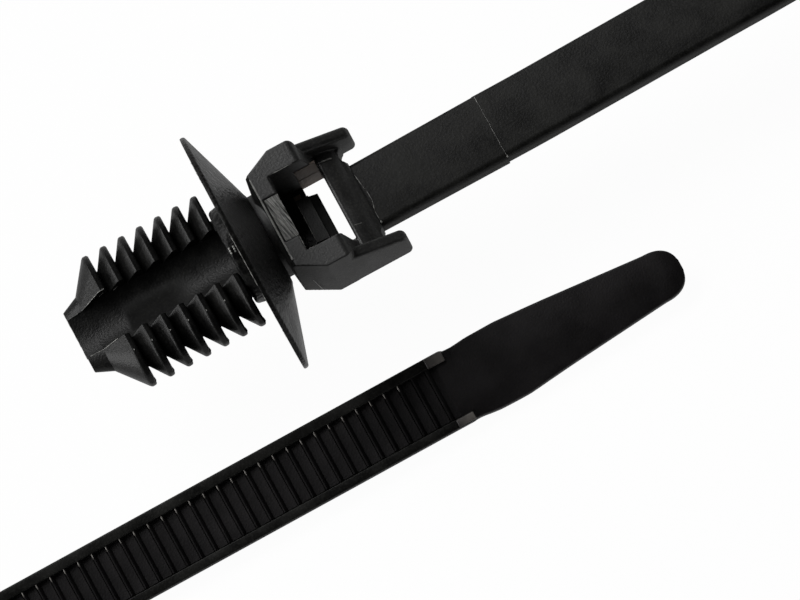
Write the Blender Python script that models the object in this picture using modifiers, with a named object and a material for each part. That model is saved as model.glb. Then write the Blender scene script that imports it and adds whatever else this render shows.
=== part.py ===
# Fir tree cable tie, moulded in one piece, lying on its disc with its strap looped round.
# Metres, +Z up. The origin is the centre of the disc's rim, in the plane that meets a panel.
# +X runs from the fir tree through the head and along the strap, whose smooth face is up.
# The strap loops round to the left and stands on edge there, half a turn of twist brings
# its toothed face up, and its tip comes to lie beside the head.
from math import cos, pi, radians, sin

import bmesh
import bpy
import numpy as np
from mathutils import Vector

# Fir tree: seven wedge fins a side on a flat web, the fins' backs facing the head
fin_count = 7
fin_pitch = 0.001333
fin_half_width = 0.00512
fin_half_height = 0.00168
fin_land = 0.00046
fin_rim_round = 0.0001
first_fin_length = 0.00201
root_half_width = 0.00383
root_half_height = 0.00050
nose_length = 0.00114
nose_half_width = 0.00237
nose_half_height = 0.00064
nose_break_half_width = 0.00293
nose_break_half_height = 0.00082
fin_flat_share = 0.6
channel_half_width = 0.00174
web_half_thickness = 0.00045
neck_length = 0.00013
neck_half_width = 0.00298
neck_half_height = 0.00120

# Disc: a conical dish, open towards the fir tree, with a boss in its middle
disc_radius = 0.0085
disc_rim_width = 0.0004
disc_depth = 0.00202
disc_wall = 0.0005
disc_edge_round = 0.00008
cone_foot_radius = 0.00305
boss_radius = 0.00338
boss_height = 0.00068
boss_round = 0.00025

# Hub between the disc and the head
hub_half_width = 0.00305
hub_half_height = 0.0022
hub_length = 0.00053

# Head: a block with the strap's window, and a lower crossbar between two arms
head_half_width = 0.00462
head_face_half_width = 0.00366
head_chamfer_length = 0.00195
head_top = 0.00223
head_bottom = -0.0021
block_length = 0.00382
block_round = 0.0005
end_wall = 0.00135
window_half_width = 0.00295
window_length = 0.00325
crossbar_width = 0.00169
crossbar_top = -0.00016
crossbar_round = 0.0006
arm_thickness = 0.00085
arm_reach = 0.0011
arm_root_top = 0.00096
arm_round = 0.0006
notch_depth = 0.0002

# Pawl: a toothed tongue on a thin hinge web, low in the window
pawl_half_width = 0.00167
pawl_gap = 0.00078
pawl_top_length = 0.00091
pawl_length = 0.00143
pawl_top = -0.0004
pawl_shelf = -0.00064
pawl_bottom = -0.0019
pawl_tooth_count = 3
pawl_tooth_depth = 0.00022
hinge_web_length = 0.00157
hinge_web_thickness = 0.00035

# Strap: smooth on top, a ladder of ramped teeth between two rails underneath
strap_length = 0.32964
strap_root_width = 0.0047
strap_width = 0.0049
strap_thickness = 0.0011
strap_edge_chamfer = 0.00018
rail_width = 0.0006
ladder_start = 0.01084
tooth_pitch = 0.001031
tooth_depth = 0.00045
tooth_crest_drop = 0.0001
plain_end_length = 0.00130

# Tip: a smooth tapered blade with a round end
tip_length = 0.0167
tip_shoulder_width = 0.00515
tip_shoulder_length = 0.0042
tip_neck_width = 0.0034
tip_round_length = 0.0020
tip_steps = 14

# The strap's way round: it leaves the head straight, turns left twice and passes the head
lean = radians(0.85)
lean_length = 0.004
first_turn_start = 0.0372
return_offset = 0.033
second_turn_x = -0.030
tail_offset = -0.01228
first_twist_start = 0.0272
first_twist_length = 0.026
second_twist_length = 0.027
second_twist_overrun = 0.0045
tail_roll = radians(16)
drop_start = 0.0262
drop_length = 0.052

# What follows from those sizes
neck_x = -boss_height - neck_length
first_fin_x = neck_x - (fin_count - 1) * fin_pitch
nose_break_x = first_fin_x - first_fin_length
nose_end_x = nose_break_x - nose_length
head_x = disc_depth + hub_length
block_end_x = head_x + block_length
window_x = head_x + end_wall
crossbar_x = window_x + window_length
crossbar_end_x = crossbar_x + crossbar_width
arm_end_x = crossbar_end_x + arm_reach
pawl_x = window_x + pawl_gap
strap_start_x = crossbar_x + crossbar_width / 2
strap_centre_z = head_bottom + strap_thickness / 2
floor_z = -disc_radius
round_steps = 72


def smooth_step(t):
    t = np.clip(t, 0.0, 1.0)
    return t * t * (3 - 2 * t)


def arc(centre_a, centre_b, radius, start, end, steps=6):
    angles = [start + (end - start) * i / steps for i in range(steps + 1)]
    return [(centre_a + radius * cos(t), centre_b + radius * sin(t)) for t in angles]


def add_object(name, bm, collection):
    bmesh.ops.remove_doubles(bm, verts=bm.verts, dist=1e-7)
    bmesh.ops.recalc_face_normals(bm, faces=bm.faces)
    mesh = bpy.data.meshes.new(name)
    bm.to_mesh(mesh)
    bm.free()
    obj = bpy.data.objects.new(name, mesh)
    collection.objects.link(obj)
    return obj


def hide_guide(obj):
    obj.hide_render = True
    obj.display_type = "WIRE"
    return obj


def cut(obj, other, operation="DIFFERENCE"):
    boolean = obj.modifiers.new(other.name, "BOOLEAN")
    boolean.operation = operation
    boolean.solver = "EXACT"
    boolean.object = other


def side_prism(name, outline, y_start, y_end, collection):
    """Extrude an outline of (x, z) points along Y."""
    bm = bmesh.new()
    face = bm.faces.new([bm.verts.new((x, y_start, z)) for x, z in outline])
    moved = bmesh.ops.extrude_face_region(bm, geom=[face])["geom"]
    new_verts = [v for v in moved if isinstance(v, bmesh.types.BMVert)]
    bmesh.ops.translate(bm, verts=new_verts, vec=(0, y_end - y_start, 0))
    return hide_guide(add_object(name, bm, collection))


def plan_prism(name, outline, z_start, z_end, collection):
    """Extrude an outline of (x, y) points along Z."""
    bm = bmesh.new()
    face = bm.faces.new([bm.verts.new((x, y, z_start)) for x, y in outline])
    moved = bmesh.ops.extrude_face_region(bm, geom=[face])["geom"]
    new_verts = [v for v in moved if isinstance(v, bmesh.types.BMVert)]
    bmesh.ops.translate(bm, verts=new_verts, vec=(0, 0, z_end - z_start))
    return hide_guide(add_object(name, bm, collection))


def box(name, low, high, collection):
    bm = bmesh.new()
    bmesh.ops.create_cube(bm, size=1.0)
    low, high = Vector(low), Vector(high)
    bmesh.ops.scale(bm, vec=high - low, verts=bm.verts)
    bmesh.ops.translate(bm, vec=(high + low) / 2, verts=bm.verts)
    return hide_guide(add_object(name, bm, collection))


def turned(name, profile, collection):
    """Turn a profile of (radius, x) points, from high x to low x, about the X axis."""
    mesh = bpy.data.meshes.new(name)
    edges = [(i, i + 1) for i in range(len(profile) - 1)]
    mesh.from_pydata([(r, 0, x) for r, x in profile], edges, [])
    obj = bpy.data.objects.new(name, mesh)
    obj.rotation_euler = (0, pi / 2, 0)
    collection.objects.link(obj)
    screw = obj.modifiers.new("turn", "SCREW")
    screw.steps = round_steps
    screw.render_steps = round_steps
    screw.use_merge_vertices = True
    screw.merge_threshold = 1e-6
    return hide_guide(obj)


def loft(name, rings, collection):
    """Join rings of points, each with as many points, into one closed body."""
    bm = bmesh.new()
    rows = [[bm.verts.new(p) for p in ring] for ring in rings]
    for row, following in zip(rows, rows[1:]):
        for i in range(len(row)):
            j = (i + 1) % len(row)
            bm.faces.new((row[i], row[j], following[j], following[i]))
    bm.faces.new(rows[0])
    bm.faces.new(rows[-1])
    return hide_guide(add_object(name, bm, collection))


def fin_ring(x, half_width, half_height, steps=10):
    """A flat-topped oval: straight across the middle, half an ellipse at each side."""
    flat = half_width * fin_flat_share
    reach = half_width - flat
    right = [(flat + reach * sin(pi * i / steps), half_height * cos(pi * i / steps))
             for i in range(steps + 1)]
    left = [(-y, -z) for y, z in right]
    return [(x, y, z) for y, z in right + left]


def add_fir_tree(pieces, cutters):
    rings = [fin_ring(nose_end_x, nose_half_width, nose_half_height),
             fin_ring(nose_break_x, nose_break_half_width, nose_break_half_height)]
    rim_width = fin_half_width - fin_rim_round
    rim_height = fin_half_height - fin_rim_round
    for i in range(fin_count):
        back = first_fin_x + i * fin_pitch
        last = i == fin_count - 1
        rings.append(fin_ring(back - fin_land, fin_half_width, fin_half_height))
        rings.append(fin_ring(back - fin_rim_round, fin_half_width, fin_half_height))
        rings.append(fin_ring(back, rim_width, rim_height))
        if last:
            rings.append(fin_ring(back, neck_half_width, neck_half_height))
        else:
            rings.append(fin_ring(back, root_half_width, root_half_height))
    rings.append(fin_ring(disc_depth / 2, neck_half_width, neck_half_height))
    fir_tree = loft("fir_tree", rings, pieces)
    for name, side in (("upper_channel", 1), ("lower_channel", -1)):
        near = side * web_half_thickness
        far = side * fin_half_height * 2
        low = (nose_end_x - nose_length, -channel_half_width, min(near, far))
        high = (-boss_height, channel_half_width, max(near, far))
        cut(fir_tree, box(name, low, high, cutters))


def add_disc(pieces):
    wall_along_x = disc_wall * 1.04
    slope = (disc_depth - disc_rim_width) / (disc_radius - cone_foot_radius)
    rim_inner = disc_radius - disc_wall * 0.7
    dish_floor_x = disc_depth - wall_along_x
    turned("disc", [
        (0, disc_depth),
        (cone_foot_radius, disc_depth),
        (disc_radius - disc_edge_round, disc_rim_width + slope * disc_edge_round),
        (disc_radius, disc_rim_width - disc_edge_round),
        (disc_radius, disc_edge_round),
        (disc_radius - disc_edge_round, 0),
        (rim_inner, 0),
        (cone_foot_radius, dish_floor_x),
        (0, dish_floor_x)], pieces)
    boss_face = -boss_height
    corner = arc(boss_radius - boss_round, boss_face + boss_round, boss_round, 0, -pi / 2, 3)
    boss_end = (disc_depth + dish_floor_x) / 2
    turned("boss", [(0, boss_end), (boss_radius, boss_end)] + corner + [(0, boss_face)], pieces)


def add_hub(pieces):
    bm = bmesh.new()
    start = disc_depth - disc_wall / 2
    length = hub_length + disc_wall / 2 + end_wall / 2
    bmesh.ops.create_cone(bm, cap_ends=True, segments=48, radius1=1, radius2=1, depth=1)
    bmesh.ops.scale(bm, vec=(hub_half_height, hub_half_width, length), verts=bm.verts)
    bmesh.ops.translate(bm, vec=(0, 0, start + length / 2), verts=bm.verts)
    hub = hide_guide(add_object("hub", bm, pieces))
    hub.rotation_euler = (0, pi / 2, 0)


def head_side_outline():
    """The head from the side: the block, then the low crossbar with a round right flank."""
    top_corner = arc(block_end_x - block_round, head_top - block_round, block_round, pi / 2, 0.2, 4)
    fillet_x = crossbar_x - block_round / 2
    flank_x = crossbar_end_x + notch_depth
    flank = arc(flank_x - crossbar_round, crossbar_top - crossbar_round, crossbar_round,
                pi / 2, 0)
    return ([(head_x, head_bottom), (head_x, head_top)] + top_corner
            + [(fillet_x - block_round / 2, crossbar_top + block_round), (fillet_x, crossbar_top)]
            + flank + [(flank_x, head_bottom)])


def notch_outline(side):
    """The gap between an arm and the strap, with a round end."""
    inner = strap_root_width / 2
    outer = head_half_width - arm_thickness
    radius = (outer - inner) / 2
    end_x = crossbar_end_x - notch_depth
    round_end = arc(end_x + radius, (inner + outer) / 2, radius, pi * 1.5, pi / 2, 10)
    far_x = arm_end_x + arm_reach
    outline = round_end + [(far_x, outer), (far_x, inner)]
    return [(x, side * y) for x, y in outline]


def add_head(pieces, cutters):
    block = side_prism("head", head_side_outline(), -head_half_width, head_half_width, pieces)
    shoulder_x = head_x + head_chamfer_length
    far_x = arm_end_x + arm_reach
    right = [(head_x, head_face_half_width), (shoulder_x, head_half_width),
             (far_x, head_half_width)]
    left = [(x, -y) for x, y in reversed(right)]
    beyond = head_top - head_bottom
    plan = plan_prism("head_plan", right + left, head_bottom - beyond, head_top + beyond, cutters)
    cut(block, plan, "INTERSECT")
    window = box("window", (window_x, -window_half_width, head_bottom - beyond),
                 (crossbar_x, window_half_width, head_top + beyond), cutters)
    cut(block, window)
    for name, side in (("left_notch", 1), ("right_notch", -1)):
        notch = plan_prism(name, notch_outline(side), head_bottom - beyond, head_top, cutters)
        cut(block, notch)


def add_arms(pieces):
    """Two thin side walls run on past the crossbar, their tops sloping down."""
    start = window_x + window_length / 2
    end_top = crossbar_top + arm_round
    outline = [(start, head_bottom), (start, arm_root_top), (block_end_x, arm_root_top)]
    outline += arc(arm_end_x - arm_round, end_top - arm_round, arm_round, pi / 2 - 0.3, 0)
    outline += arc(arm_end_x - arm_round / 2, head_bottom + arm_round / 2, arm_round / 2,
                   0, -pi / 2, 4)
    inner = head_half_width - arm_thickness
    side_prism("left_arm", outline, inner, head_half_width, pieces)
    side_prism("right_arm", outline, -head_half_width, -inner, pieces)


def add_pawl(pieces):
    top_end = pawl_x + pawl_top_length
    toe = pawl_x + pawl_length
    pitch = (pawl_shelf - pawl_bottom) / (pawl_tooth_count + 1)
    outline = [(pawl_x, pawl_bottom), (pawl_x, pawl_top), (top_end, pawl_top),
               (top_end, pawl_shelf)]
    for i in range(pawl_tooth_count):
        tooth_top = pawl_shelf - i * pitch
        outline.append((toe, tooth_top))
        outline.append((toe - pawl_tooth_depth, tooth_top - pitch))
    outline.append((toe - pawl_tooth_depth * 2, pawl_bottom))
    side_prism("pawl", outline, -pawl_half_width, pawl_half_width, pieces)
    wall_bite = (head_half_width - window_half_width) / 4
    low = (window_x - wall_bite, -window_half_width - wall_bite, head_bottom)
    high = (window_x + hinge_web_length, window_half_width + wall_bite,
            head_bottom + hinge_web_thickness)
    box("hinge_web", low, high, pieces)


class Route:
    """The strap's way round, as tables of position, heading and roll along its length."""

    def __init__(self):
        step = 0.0001
        samples = np.arange(0, 1, 0.001) + 0.0005
        turn_share = float(np.mean(np.sin(pi * smooth_step(samples))))
        self.s = np.arange(0, strap_length + step, step)
        s = self.s
        first_turn = return_offset / turn_share
        heading = lean * smooth_step((s - ladder_start) / lean_length)
        heading += (pi - lean) * smooth_step((s - first_turn_start) / first_turn)
        returning = s < first_turn_start + first_turn
        return_y = float(np.sum(np.sin(heading[returning]))) * step
        second_turn = (return_y - tail_offset) / turn_share
        first_turn_x = strap_start_x + first_turn_start
        second_turn_start = first_turn_start + first_turn + first_turn_x - second_turn_x
        second_twist_start = (second_turn_start + second_turn + second_twist_overrun
                              - second_twist_length)
        heading += pi * smooth_step((s - second_turn_start) / second_turn)
        roll = pi / 2 * smooth_step((s - first_twist_start) / first_twist_length)
        roll += (pi / 2 + tail_roll) * smooth_step((s - second_twist_start) / second_twist_length)
        rest = (floor_z + strap_width / 2 * abs(np.sin(roll))
                + strap_thickness / 2 * abs(np.cos(roll)))
        lift = strap_centre_z - floor_z - strap_thickness / 2
        self.z = rest + lift * (1 - smooth_step((s - drop_start) / drop_length))
        self.x = strap_start_x + np.cumsum(np.cos(heading)) * step - step
        self.y = np.cumsum(np.sin(heading)) * step
        self.heading = heading
        self.roll = roll

    def lay(self, s, across, up):
        """A point of the strap: s along it, across to its left, up from its mid plane."""
        x, y, z = (float(np.interp(s, self.s, table)) for table in (self.x, self.y, self.z))
        heading = float(np.interp(s, self.s, self.heading))
        roll = float(np.interp(s, self.s, self.roll))
        left = Vector((-sin(heading), cos(heading), 0))
        width_way = left * cos(roll) + Vector((0, 0, sin(roll)))
        up_way = Vector((0, 0, cos(roll))) - left * sin(roll)
        return Vector((x, y, z)) + width_way * across + up_way * up


def tip_half_width(along):
    """Half the tip's width at a distance past the ladder's end, round at its far end."""
    full = strap_width / 2
    shoulder = tip_shoulder_width / 2
    neck = tip_neck_width / 2
    taper_end = tip_length - tip_round_length
    if along < tip_shoulder_length:
        width = full + (shoulder - full) * sin(pi / 2 * along / tip_shoulder_length)
    else:
        share = min((along - tip_shoulder_length) / (taper_end - tip_shoulder_length), 1)
        width = shoulder + (neck - shoulder) * share
    if along > taper_end:
        rest = (along - taper_end) / tip_round_length
        width *= (1 - rest ** 2.3) ** (1 / 2.3)
    return width


def strap_stations(tooth_count, ladder_end):
    """Places along the strap where its section is set, each with its half width."""
    root = [(0, strap_root_width / 2), (crossbar_width / 2, strap_root_width / 2),
            (ladder_start * 0.6, (strap_root_width + strap_width) / 4)]
    ladder = [(ladder_start + i * tooth_pitch, strap_width / 2) for i in range(tooth_count + 1)]
    plain = [(ladder_end + plain_end_length, strap_width / 2)]
    tip = []
    for i in range(1, tip_steps + 1):
        share = 1 - (1 - i / tip_steps) ** 1.6
        along = (tip_length - plain_end_length) * share
        tip.append((ladder_end + plain_end_length + along, tip_half_width(along + plain_end_length)))
    tip[-1] = (tip[-1][0], tip_neck_width / 6)
    return root, ladder, plain + tip


def add_strap(route, collection):
    ladder_room = strap_length - tip_length - ladder_start
    tooth_count = int(ladder_room / tooth_pitch)
    ladder_end = ladder_start + tooth_count * tooth_pitch
    half = strap_thickness / 2
    chamfer = strap_edge_chamfer
    bm = bmesh.new()

    def ring(s, width):
        inner = min(strap_width / 2 - rail_width, width * 0.75)
        section = [(width - chamfer, half), (width, half - chamfer), (width, -half),
                   (inner, -half)]
        right = [(-a, h) for a, h in reversed(section)]
        return [bm.verts.new(route.lay(s, a, h)) for a, h in section + right]

    def pair(s, depth):
        inner = strap_width / 2 - rail_width
        return [bm.verts.new(route.lay(s, side * inner, depth - half)) for side in (1, -1)]

    root, ladder, tip = strap_stations(tooth_count, ladder_end)
    rings = [ring(s, width) for s, width in root + ladder + tip]
    ladder_first = len(root)
    ladder_last = ladder_first + tooth_count
    crests = [pair(s, tooth_crest_drop) for s, width in ladder]
    floors = [pair(s, tooth_depth) for s, width in ladder]
    for n, (here, there) in enumerate(zip(rings, rings[1:])):
        for i in range(8):
            j = (i + 1) % 8
            if i == 3 and ladder_first <= n < ladder_last:
                continue
            bm.faces.new((here[i], here[j], there[j], there[i]))
    for i in range(tooth_count):
        here = rings[ladder_first + i]
        there = rings[ladder_first + i + 1]
        crest, floor = crests[i], floors[i + 1]
        bm.faces.new((crest[0], crest[1], floor[1], floor[0]))
        for side, edge in ((0, 3), (1, 4)):
            wall = [here[edge], there[edge], floor[side], crest[side]]
            if i < tooth_count - 1:
                wall.insert(2, crests[i + 1][side])
            bm.faces.new(wall)
        if i > 0:
            bm.faces.new((crest[0], crest[1], floors[i][1], floors[i][0]))
    first, last = rings[ladder_first], rings[ladder_last]
    bm.faces.new((first[3], first[4], crests[0][1], crests[0][0]))
    bm.faces.new((last[3], last[4], floors[-1][1], floors[-1][0]))
    bm.faces.new(rings[0])
    bm.faces.new(rings[-1])
    unused = crests[-1] + floors[0]
    for vert in unused:
        bm.verts.remove(vert)
    return add_object("cable_tie", bm, collection)


def black_nylon():
    material = bpy.data.materials.new("black_nylon")
    material.use_nodes = True
    shader = material.node_tree.nodes["Principled BSDF"]
    shader.inputs["Base Color"].default_value = (0.012, 0.012, 0.011, 1)
    shader.inputs["Roughness"].default_value = 0.5
    shader.inputs["Metallic"].default_value = 0.0
    return material


def main():
    for obj in list(bpy.data.objects):
        bpy.data.objects.remove(obj)
    scene = bpy.context.scene.collection
    tie_parts = bpy.data.collections.new("fir_tree_cable_tie")
    pieces = bpy.data.collections.new("moulded_pieces")
    cutters = bpy.data.collections.new("cutters")
    for collection in (tie_parts, pieces, cutters):
        scene.children.link(collection)
    add_fir_tree(pieces, cutters)
    add_disc(pieces)
    add_hub(pieces)
    add_head(pieces, cutters)
    add_arms(pieces)
    add_pawl(pieces)
    tie = add_strap(Route(), tie_parts)
    tie.data.materials.append(black_nylon())
    union = tie.modifiers.new("moulded in one", "BOOLEAN")
    union.operation = "UNION"
    union.solver = "EXACT"
    union.operand_type = "COLLECTION"
    union.collection = pieces
    tie.data.shade_smooth()
    tie.data.set_sharp_from_angle(angle=radians(30))


main()
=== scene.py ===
# Fir tree cable tie in black nylon, lying on a pale table with its strap looped round
from math import cos, pi, radians, sin

import bmesh
import bpy
import numpy as np
from mathutils import Matrix, Vector, noise


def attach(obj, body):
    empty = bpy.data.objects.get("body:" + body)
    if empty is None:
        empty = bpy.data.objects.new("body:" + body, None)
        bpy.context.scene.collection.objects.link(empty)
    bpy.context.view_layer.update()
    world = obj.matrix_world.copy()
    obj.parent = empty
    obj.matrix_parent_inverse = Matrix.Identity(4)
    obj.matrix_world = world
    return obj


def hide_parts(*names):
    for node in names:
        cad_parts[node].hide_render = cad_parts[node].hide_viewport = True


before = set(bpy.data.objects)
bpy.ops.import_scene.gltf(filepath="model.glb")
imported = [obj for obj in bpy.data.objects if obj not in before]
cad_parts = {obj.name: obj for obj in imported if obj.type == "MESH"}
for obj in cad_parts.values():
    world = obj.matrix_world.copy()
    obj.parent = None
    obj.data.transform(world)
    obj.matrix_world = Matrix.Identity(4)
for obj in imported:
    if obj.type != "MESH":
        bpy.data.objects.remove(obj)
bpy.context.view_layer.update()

# pieces are modelled in millimetres round the centre of the disc's rim, then scaled to metres
mm = 0.001


# small tools

def arc(a, b, radius, start, end, steps=8):
    turns = [start + (end - start) * i / steps for i in range(steps + 1)]
    return [(a + radius * cos(t), b + radius * sin(t)) for t in turns]


def vertsOf(geometry):
    return [part for part in geometry if isinstance(part, bmesh.types.BMVert)]


def addObject(name, data):
    obj = bpy.data.objects.new(name, data)
    bpy.context.scene.collection.objects.link(obj)
    return obj


def toObject(name, bm, weld=True):
    if weld:
        bmesh.ops.remove_doubles(bm, verts=bm.verts, dist=1e-5)
    bmesh.ops.recalc_face_normals(bm, faces=bm.faces)
    mesh = bpy.data.meshes.new(name)
    bm.to_mesh(mesh)
    bm.free()
    return addObject(name, mesh)


def shade(obj, angle=None):  # smooth all over, or with edges over an angle kept crisp
    obj.data.shade_smooth()
    if angle:
        obj.data.set_sharp_from_angle(angle=radians(angle))


def pushOutline(bm, points, move):
    face = bm.faces.new([bm.verts.new(p) for p in points])
    pushed = bmesh.ops.extrude_face_region(bm, geom=[face])["geom"]
    bmesh.ops.translate(bm, verts=vertsOf(pushed), vec=move)


def prism(name, points, move, rounding=0.0, rounded=None):  # with the edges rounded that rounded picks
    bm = bmesh.new()
    pushOutline(bm, points, move)
    bmesh.ops.recalc_face_normals(bm, faces=bm.faces)
    if rounding:
        chosen = [e for e in bm.edges if all(rounded(v.co) for v in e.verts) and e.calc_face_angle() > 0.6]
        bmesh.ops.bevel(bm, geom=chosen, offset=rounding, offset_type="OFFSET", affect="EDGES",
                        segments=5, profile=0.5, material=-1, clamp_overlap=True)
    return toObject(name, bm)


def slab(name, outline, half):  # an (x, z) outline pushed across the tie
    return prism(name, [(x, -half, z) for x, z in outline], (0, 2 * half, 0))


def box(name, low, high):
    bm = bmesh.new()
    bmesh.ops.create_cube(bm, size=1.0)
    bmesh.ops.scale(bm, vec=Vector(high) - Vector(low), verts=bm.verts)
    bmesh.ops.translate(bm, vec=(Vector(high) + Vector(low)) / 2, verts=bm.verts)
    return toObject(name, bm)


def bake(obj):  # keeps what the modifiers made
    seen = obj.evaluated_get(bpy.context.evaluated_depsgraph_get())
    mesh = bpy.data.meshes.new_from_object(seen)
    if obj.type == "CURVE":
        name = obj.name
        bpy.data.objects.remove(obj)
        return addObject(name, mesh)
    obj.modifiers.clear()
    obj.data = mesh
    return obj


def modify(obj, kind, **settings):
    step = obj.modifiers.new(kind.lower(), kind)
    for key, value in settings.items():
        setattr(step, key, value)


def combine(obj, other, how):
    modify(obj, "BOOLEAN", operation=how, solver="EXACT", object=other)
    bake(obj)
    bpy.data.objects.remove(other)


def mouldedSkin(obj, grid, softness, keep):  # every edge gets the small round of a moulded part
    modify(obj, "REMESH", mode="VOXEL", voxel_size=grid)
    modify(obj, "SMOOTH", factor=0.5, iterations=softness)
    modify(obj, "DECIMATE", ratio=keep)
    bake(obj)
    shade(obj)


def softenEdges(obj, width, angle, steps=2):
    modify(obj, "BEVEL", width=width, segments=steps, limit_method="ANGLE", angle_limit=radians(angle))
    bake(obj)
    shade(obj)
    modify(obj, "WEIGHTED_NORMAL", keep_sharp=True, weight=80)
    bake(obj)


def finishPiece(obj, material):
    obj.data.transform(Matrix.Scale(mm, 4))
    obj.data.materials.clear()
    obj.data.materials.append(material)
    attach(obj, "root")
    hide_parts("cable_tie")


def smoothStep(t):
    t = np.clip(t, 0.0, 1.0)
    return t * t * (3 - 2 * t)


def copyAlong(bm, count, pitch, height=lambda i: 1):
    one = bm.verts[:] + bm.edges[:] + bm.faces[:]
    for i in range(1, count):
        made = vertsOf(bmesh.ops.duplicate(bm, geom=one)["geom"])
        bmesh.ops.scale(bm, vec=(1, 1, height(i)), verts=made)
        bmesh.ops.translate(bm, vec=(i * pitch, 0, 0), verts=made)


def gridPatch(name, columns, rows, place, behind):  # a shaped sheet with a skirt and a flat back
    bm = bmesh.new()
    bmesh.ops.create_grid(bm, x_segments=columns, y_segments=rows, size=0.5)
    for v in bm.verts:
        v.co = place(v.co.x + 0.5, v.co.y + 0.5)
    skirt = bmesh.ops.extrude_edge_only(bm, edges=[e for e in bm.edges if e.is_boundary])["geom"]
    for v in vertsOf(skirt):
        v.co = behind(v.co)
    bmesh.ops.holes_fill(bm, edges=[e for e in bm.edges if e.is_boundary], sides=0)
    patch = toObject(name, bm)
    shade(patch, 40)
    return patch


def startCap(bm, count, place):
    layer = bm.verts.layers.int.new("turn")
    corners = bmesh.ops.create_circle(bm, cap_ends=True, segments=count, radius=1)["verts"]
    for i, v in enumerate(corners):
        v[layer] = i
        v.co = place(i)
    return layer, bm.faces[:][0]


def extrudeTo(bm, face, layer, place):  # pushes a cap on and lays its corners where place says
    pushed = bmesh.ops.extrude_face_region(bm, geom=[face, *face.edges])["geom"]
    for v in vertsOf(pushed):
        v.co = place(v[layer])
    return next(part for part in pushed if isinstance(part, bmesh.types.BMFace))


def sweep(name, stations):  # stations: a place along X and the section there
    bm = bmesh.new()
    first = stations[0]
    layer, cap = startCap(bm, len(first[1]), lambda i: Vector((first[0], *first[1][i])))
    for s, section in stations[1:]:
        cap = extrudeTo(bm, cap, layer, lambda i: Vector((s, *section[i])))
    return toObject(name, bm)


def barSection(halfWidth, top, bottom, topRound, bottomRound):
    points = arc(halfWidth - topRound, top - topRound, topRound, pi / 2, 0, 6)
    points += arc(halfWidth - bottomRound, bottom + bottomRound, bottomRound, 0, -pi / 2, 3)
    return points + [(-a, u) for a, u in reversed(points)]


def slivers(name, paths, radius):  # thin lines, for flash and for painted highlights: points (x, y, z, share of the radius)
    curve = bpy.data.curves.new(name, "CURVE")
    curve.dimensions = "3D"
    curve.bevel_depth = radius
    curve.bevel_resolution = 1
    curve.use_fill_caps = True
    for path in paths:
        line = curve.splines.new("POLY")
        line.points.add(len(path) - 1)
        for point, (x, y, z, share) in zip(line.points, path):
            point.co = (x, y, z, 1)
            point.radius = share
    obj = bake(addObject(name, curve))
    shade(obj)
    return obj


def ragged(start, end, steps, wander, seed):  # a wavering line between two points, thin at its ends
    path = []
    for i in range(steps + 1):
        t = i / steps
        at = Vector(start).lerp(Vector(end), t)
        sway = noise.noise(Vector((seed * 7.3, t * steps * 0.45, 1.7))) * wander
        swell = 0.85 + 0.9 * noise.noise(Vector((seed * 3.1, 5.5, t * steps * 0.8)))
        thin = min(1, 4 * t + 0.2, 4.2 - 4 * t)
        path.append((at.x + sway * 0.6, at.y + sway * 0.4, at.z, max(0.12, swell) * thin))
    return path


# disc with its boss: profiles spun about the tie's axis

disc = {
    "radius": 8.5, "rim": 0.38, "depth": 2.08, "wall": 0.5, "floorWall": 0.52, "coneFoot": 3.05,
    "edge": 0.08, "corner": 0.2, "boss": 3.46, "bossFace": 3.40, "bossHeight": 0.68, "bossRound": 0.3,
    "bossShift": 0.05, "bend": 0.006, "upperBend": 0.0018, "turnSteps": 160, "bossSteps": 96,
}
floorZ = -disc["radius"]


def spun(name, profile, steps):
    bm = bmesh.new()
    points = [bm.verts.new((x, 0, r)) for r, x in profile]
    edges = [bm.edges.new(pair) for pair in zip(points, points[1:])]
    bmesh.ops.spin(bm, geom=points + edges, cent=(0, 0, 0), axis=(1, 0, 0), angle=2 * pi,
                   steps=steps, use_merge=True)
    return toObject(name, bm)


def makeDisc():
    d = disc
    radius, depth, foot, edge, corner = d["radius"], d["depth"], d["coneFoot"], d["edge"], d["corner"]
    slope = (depth - d["rim"]) / (radius - foot)
    floorX = depth - d["floorWall"]
    profile = [(0, depth), (foot - 0.15, depth)]  # the cone's foot is rounded
    profile += [(foot + 0.1, depth - 0.02), (foot + 0.3, depth - 0.02 - slope * 0.26)]
    profile += arc(radius - corner, d["rim"] - corner, corner, pi / 2 - 0.3, 0, 7)
    profile += arc(radius - edge, edge, edge, 0, -pi / 2, 5)
    profile += [(radius - d["wall"] * 0.7, 0), (foot + 0.2, floorX - 0.04), (foot - 0.1, floorX), (0, floorX)]
    dish = spun("disc", profile, d["turnSteps"])
    bossTop, bossRound = -d["bossHeight"], d["bossRound"]
    profile = [(0, floorX + 0.2), (d["boss"], floorX + 0.2), (d["boss"], -0.12)]
    profile += arc(d["bossFace"] - bossRound, bossTop + bossRound, bossRound, 0, -pi / 2, 6)
    boss = spun("boss", profile + [(0, bossTop)], d["bossSteps"])
    boss.data.transform(Matrix.Translation((0, d["bossShift"], 0)))
    combine(dish, boss, "UNION")
    for v in dish.data.vertices:  # the thin rim leans back a little on its lower side
        v.co.x += d["bend"] * max(0, -v.co.y) + d["upperBend"] * max(0, v.co.y)
    shade(dish, 50)
    print("disc:", len(dish.data.polygons), "faces")
    return dish


# fir tree: a loft by repeated extrusion, then the two grooves that leave a comb on each side

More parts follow.
